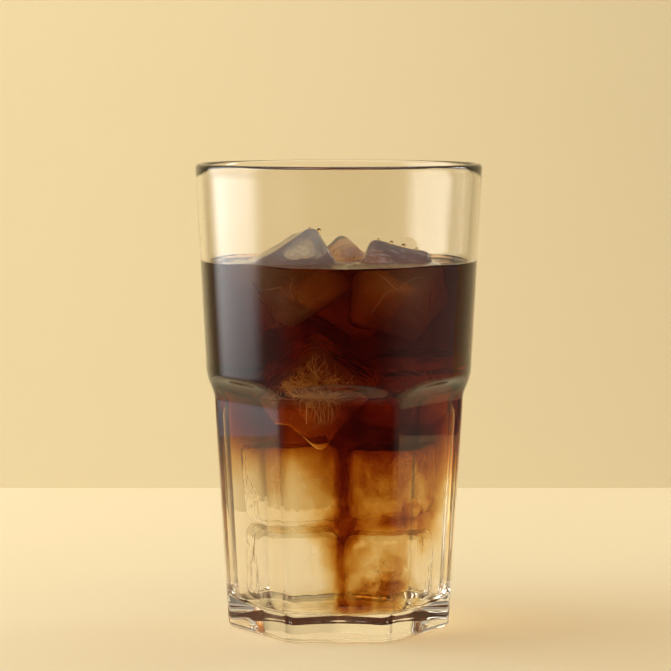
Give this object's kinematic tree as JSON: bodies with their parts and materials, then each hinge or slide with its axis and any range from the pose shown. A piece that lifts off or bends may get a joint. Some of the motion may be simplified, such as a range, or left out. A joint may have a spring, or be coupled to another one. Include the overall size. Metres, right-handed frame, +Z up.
{
  "type": "iced coffee",
  "caption": "Tall pressed tumbler, round above and cut into flat arched facets below, filled with clear iced coffee; ice cubes show above the drink.",
  "frame": {"origin": "centre of the resting plane, on the axis of the tumbler", "axes": "+Z up along the axis of the tumbler; one flat facet faces -Y, the front of the drink"},
  "size_m": [0.088, 0.088, 0.143],
  "materials": {
    "glass": "clear pressed glass, fire-polished",
    "coffee": "clear dark brown liquid, black coffee",
    "melt_water": "clear liquid, melt water tinted amber by the coffee",
    "ice": "clear wet ice with melted edges"
  },
  "bodies": {
    "root": {"glass": "glass", "coffee_layer": "coffee", "water_layer": "melt_water", "ice_left": "ice", "ice_right": "ice", "ice_back": "ice"}
  },
  "joints": []
}
